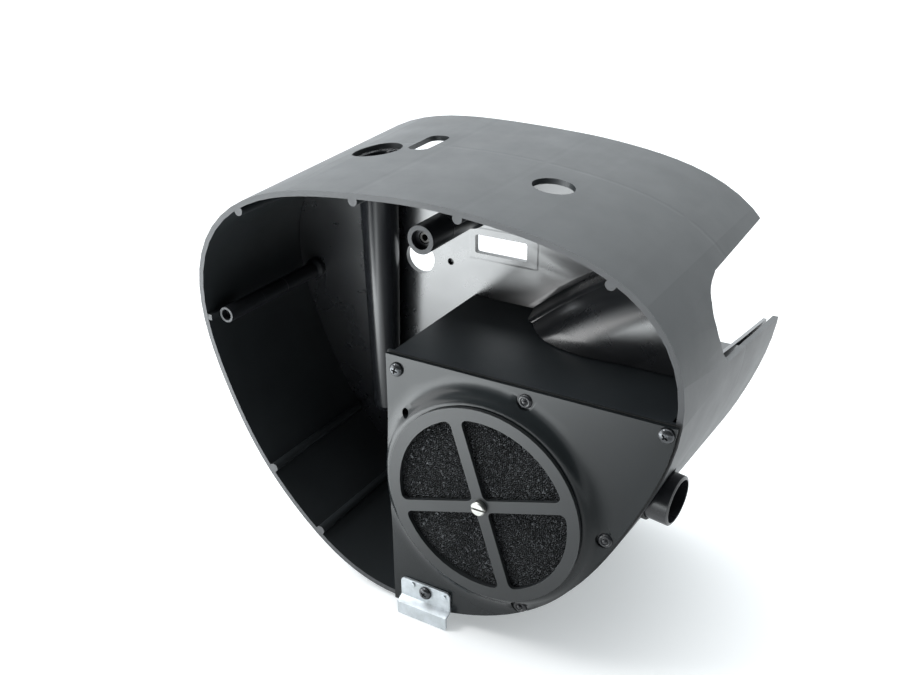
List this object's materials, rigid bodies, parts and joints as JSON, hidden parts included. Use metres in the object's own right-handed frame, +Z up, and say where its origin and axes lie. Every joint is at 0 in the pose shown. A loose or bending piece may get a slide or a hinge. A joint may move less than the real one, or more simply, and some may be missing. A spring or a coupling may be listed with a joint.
{
  "type": "solder fume extractor housing",
  "caption": "Open egg-shaped fume extractor housing with a round foam filter behind a cross-shaped cover, a blower inside, a hose spigot, an arm socket and a latch tab.",
  "frame": {"origin": "where the blower's axis meets the rear face of the rear panel", "axes": "+X to the right as seen from the open front, +Y to the rear along the blower's axis, +Z up"},
  "size_m": [0.2884, 0.1685, 0.2416],
  "materials": {
    "shell": "satin dark grey moulding",
    "moulding": "semi-gloss black moulding",
    "plate": "fine satin dark grey",
    "foam": "open-cell black foam",
    "carbon": "loose black fibre with carbon grains",
    "rubber": "soft matt black",
    "zinc": "bright zinc plate, lightly scratched",
    "nickel": "nickel plate",
    "black_steel": "black plated steel, glossy",
    "brass": "bright turned brass",
    "steel": "plain steel",
    "fan_plastic": "black glass-filled plastic",
    "magnet": "dark sintered magnet",
    "copper": "varnished copper winding"
  },
  "bodies": {
    "housing": {"outer_shell": "shell", "rear_panel": "moulding", "socket_tube": "moulding", "top_post": "moulding", "top_post_insert": "black_steel", "side_post": "moulding", "side_post_insert": "black_steel", "filter_box": "moulding", "plate_seal": "rubber", "front_plate": "plate", "carbon_filter": "carbon", "filter_frame": "moulding", "cover_screw_insert": "brass", "plate_screw_left": "black_steel", "plate_screw_right": "black_steel", "bracket_screw": "black_steel", "rivet_top": "moulding", "rivet_right": "moulding", "rivet_bottom": "moulding", "latch_bracket": "zinc", "blower_housing": "fan_plastic", "blower_cover": "fan_plastic", "motor_cap": "steel", "motor_can": "steel", "motor_magnet": "magnet", "motor_bearing_front": "steel", "motor_bearing_rear": "steel", "motor_screw_1": "steel", "motor_screw_2": "steel", "motor_screw_3": "steel", "hose_spigot": "moulding", "spigot_seal": "rubber", "blower_hose": "rubber"},
    "rotor": {"impeller": "fan_plastic", "motor_shaft": "steel", "motor_armature": "copper"},
    "filter_door": {"filter_cover": "plate", "foam_filter": "foam"},
    "door_screw": {"cover_screw": "nickel"}
  },
  "joints": [
    {"name": "blower_spin", "type": "hinge", "parent": "housing", "child": "rotor", "pos_m": [0, -0.04, 0], "axis": [0, 1, 0], "continuous": true},
    {"name": "filter_door_slide", "type": "slide", "parent": "housing", "child": "filter_door", "axis": [0, -1, 0], "range_m": [0, 0.03]},
    {"name": "door_screw_turn", "type": "hinge", "parent": "filter_door", "child": "door_screw", "pos_m": [0, -0.1, 0], "axis": [0, 1, 0], "continuous": true}
  ]
}
